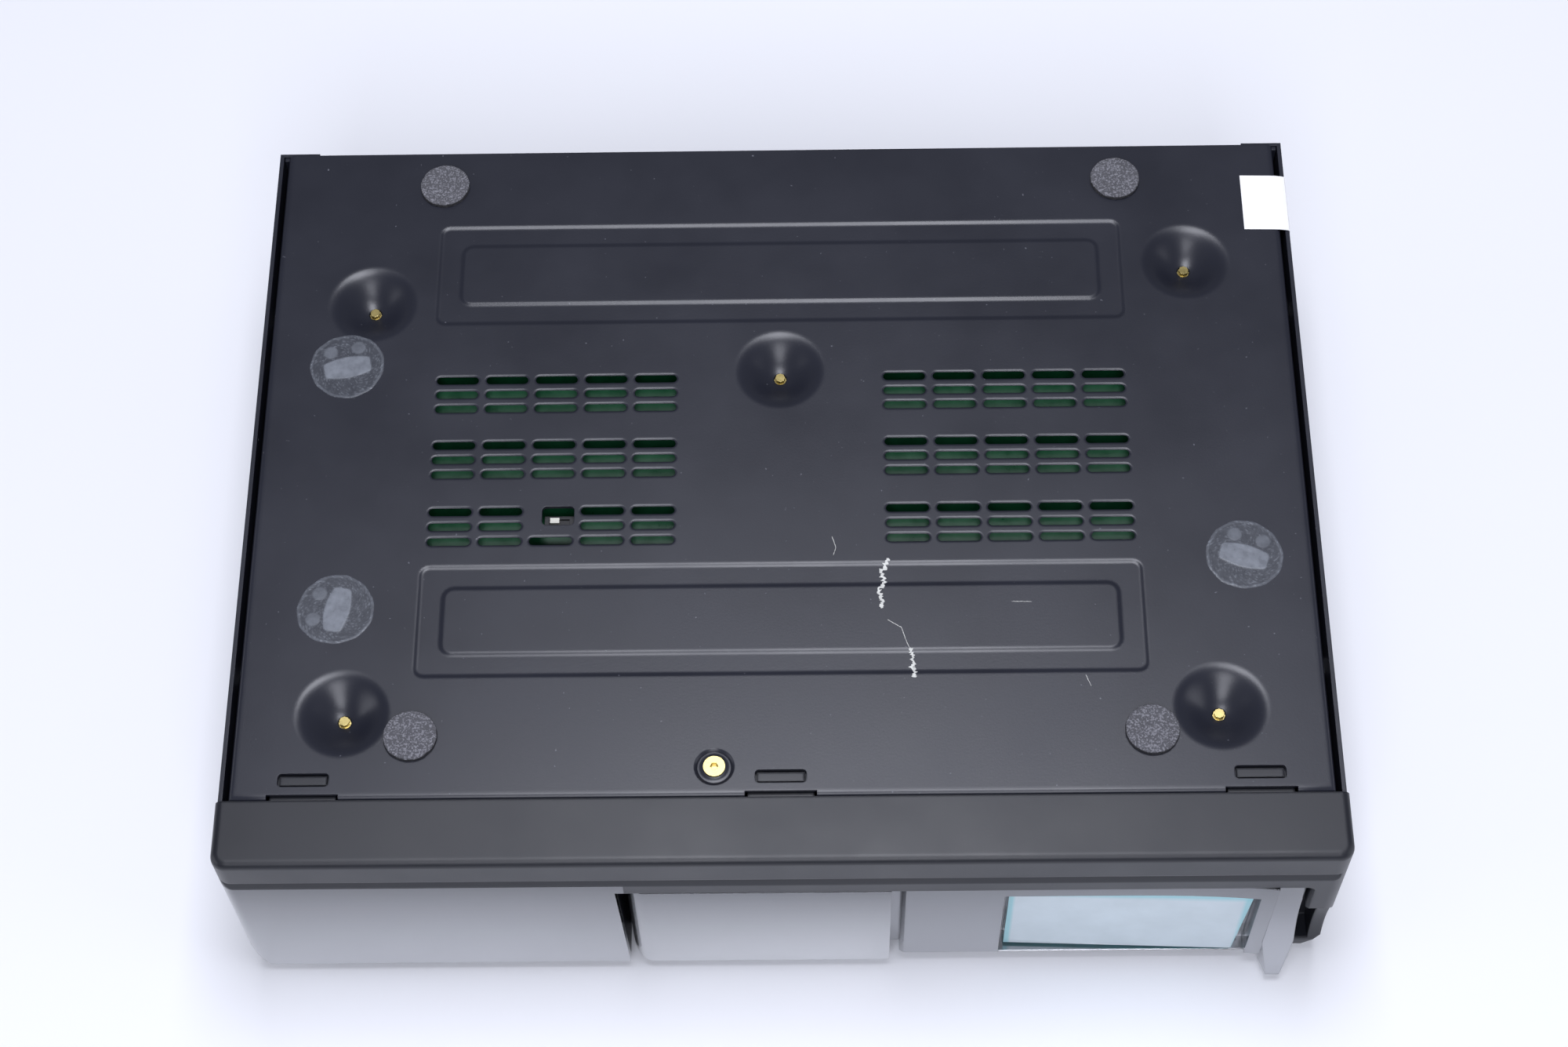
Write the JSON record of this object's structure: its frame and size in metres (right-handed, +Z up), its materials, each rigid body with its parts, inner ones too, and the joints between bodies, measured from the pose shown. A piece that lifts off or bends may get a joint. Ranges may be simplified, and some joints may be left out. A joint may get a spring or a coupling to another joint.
{
  "type": "multi disc changer",
  "caption": "Black steel disc changer lying on its top cover: vented base plate up, moulded front with swing door, window and pull, disc magazine and player lift inside.",
  "frame": {"origin": "centre of the overall box in X and Y, on the surface the part lies on (the outer face of the top cover)", "axes": "+Z up out of the vented base plate, as the part lies in the picture; -Y out of the moulded front with the door, +Y out of the rear panel with the sockets; +X towards the door's pull. In use in a vehicle the part is turned over, with +Z down"},
  "size_m": [0.2544, 0.2004, 0.0658],
  "materials": {
    "case_paint": "satin black powder coat on sheet steel",
    "front_plastic": "satin black moulding",
    "gloss_black": "polished black",
    "grey_panel": "dark grey, semi-gloss",
    "window_tint": "pale blue-green clear plastic",
    "window_white": "pale backing",
    "foam_black": "open-cell foam",
    "brass": "machined brass",
    "zinc": "zinc plated steel",
    "board_green": "green solder mask",
    "chip_black": "moulded packages",
    "socket_black": "moulded",
    "damper_rubber": "soft black rubber",
    "magazine_grey": "textured dark grey",
    "tray_plastic": "smooth grey",
    "works_plastic": "natural white acetal",
    "motor_steel": "drawn can",
    "lens": "clear",
    "label_white": "bare white paper label",
    "glue_film": "thin dried adhesive left by round rubber feet",
    "bare_scratch": "chalky scratches in the powder coat"
  },
  "bodies": {
    "housing": {"bottom_cover": "case_paint", "foam_pads": "foam_black", "top_cover": "case_paint", "bracket_nuts": "zinc", "front_bezel": "front_plastic", "fascia_panel": "gloss_black", "door_hinge_pins": "zinc", "rear_panel": "case_paint", "rear_screws": "zinc", "control_socket": "socket_black", "av_socket": "socket_black", "power_socket": "socket_black", "main_board": "board_green", "board_components": "chip_black", "mode_switch_body": "socket_black", "boss_screws": "brass", "cover_screw": "brass", "deck_frame": "zinc", "dampers": "damper_rubber", "lift_posts": "zinc", "magazine_cradle": "magazine_grey", "eject_post": "zinc", "lift_motor": "motor_steel"},
    "door": {"door_panel": "front_plastic", "door_block": "grey_panel", "door_window": "window_tint", "window_backing": "window_white"},
    "magazine": {"magazine_case": "magazine_grey"},
    "eject_lever": {"eject_lever": "works_plastic"},
    "mode_switch": {"mode_switch_slider": "works_plastic"},
    "lift": {"lift_frame": "zinc", "arm_pivot_pin": "zinc", "guide_rods": "zinc", "feed_motor": "motor_steel", "spindle_motor": "motor_steel"},
    "cam": {"cam_plate": "zinc"},
    "turntable": {"turntable": "works_plastic"},
    "clamp_arm": {"clamp_arm": "zinc"},
    "clamper": {"clamper": "works_plastic"},
    "pickup": {"pickup_sled": "works_plastic", "pickup_lens": "lens"},
    "feed_screw": {"feed_screw": "zinc"},
    "tray_1": {"tray_1": "tray_plastic"},
    "tray_2": {"tray_2": "tray_plastic"},
    "tray_3": {"tray_3": "tray_plastic"},
    "tray_4": {"tray_4": "tray_plastic"},
    "tray_5": {"tray_5": "tray_plastic"},
    "tray_6": {"tray_6": "tray_plastic"}
  },
  "joints": [
    {"name": "door_hinge", "type": "hinge", "parent": "housing", "child": "door", "pos_m": [-0.0313, -0.091, 0.025], "axis": [0, 0, -1], "range_deg": [0, 90]},
    {"name": "magazine_slide", "type": "slide", "parent": "housing", "child": "magazine", "axis": [0, -1, 0], "range_m": [0, 0.025]},
    {"name": "eject_swing", "type": "hinge", "parent": "housing", "child": "eject_lever", "pos_m": [0.1, 0.0824, 0.0195], "axis": [0, 0, 1], "range_deg": [0, 34.4]},
    {"name": "tray_1_slide", "type": "slide", "parent": "magazine", "child": "tray_1", "axis": [-1, 0, 0], "range_m": [0, 0.01]},
    {"name": "tray_2_slide", "type": "slide", "parent": "magazine", "child": "tray_2", "axis": [-1, 0, 0], "range_m": [0, 0.01]},
    {"name": "tray_3_slide", "type": "slide", "parent": "magazine", "child": "tray_3", "axis": [-1, 0, 0], "range_m": [0, 0.01]},
    {"name": "tray_4_slide", "type": "slide", "parent": "magazine", "child": "tray_4", "axis": [-1, 0, 0], "range_m": [0, 0.01]},
    {"name": "tray_5_slide", "type": "slide", "parent": "magazine", "child": "tray_5", "axis": [-1, 0, 0], "range_m": [0, 0.01]},
    {"name": "tray_6_slide", "type": "slide", "parent": "magazine", "child": "tray_6", "axis": [-1, 0, 0], "range_m": [0, 0.01]},
    {"name": "lift_slide", "type": "slide", "parent": "housing", "child": "lift", "axis": [0, 0, 1], "range_m": [0, 0.028]},
    {"name": "cam_slide", "type": "slide", "parent": "housing", "child": "cam", "axis": [0, -1, 0], "range_m": [0, 0.028]},
    {"name": "turntable_spin", "type": "hinge", "parent": "lift", "child": "turntable", "pos_m": [-0.058, -0.0001, 0.0105], "axis": [0, 0, 1], "continuous": true},
    {"name": "clamp_hinge", "type": "hinge", "parent": "lift", "child": "clamp_arm", "pos_m": [-0.058, 0.0659, 0.0062], "axis": [-1, 0, 0], "range_deg": [0, 1]},
    {"name": "clamper_spin", "type": "hinge", "parent": "clamp_arm", "child": "clamper", "pos_m": [-0.058, -0.0001, 0.005], "axis": [0, 0, 1], "continuous": true},
    {"name": "pickup_slide", "type": "slide", "parent": "lift", "child": "pickup", "axis": [0, 1, 0], "range_m": [0, 0.03]},
    {"name": "feed_turn", "type": "hinge", "parent": "lift", "child": "feed_screw", "pos_m": [-0.0366, 0.0074, 0.0134], "axis": [0, 1, 0], "range_deg": [0, 3600]},
    {"name": "mode_switch_slide", "type": "slide", "parent": "housing", "child": "mode_switch", "axis": [1, 0, 0], "range_m": [0, 0.002]}
  ],
  "couplings": [
    {"joint": "magazine_slide", "follows": "door_hinge", "m_per_rad": 0.015915},
    {"joint": "eject_swing", "follows": "door_hinge", "ratio": 0.38222},
    {"joint": "cam_slide", "follows": "lift_slide", "ratio": 1},
    {"joint": "feed_turn", "follows": "pickup_slide", "rad_per_m": 2094.4}
  ]
}
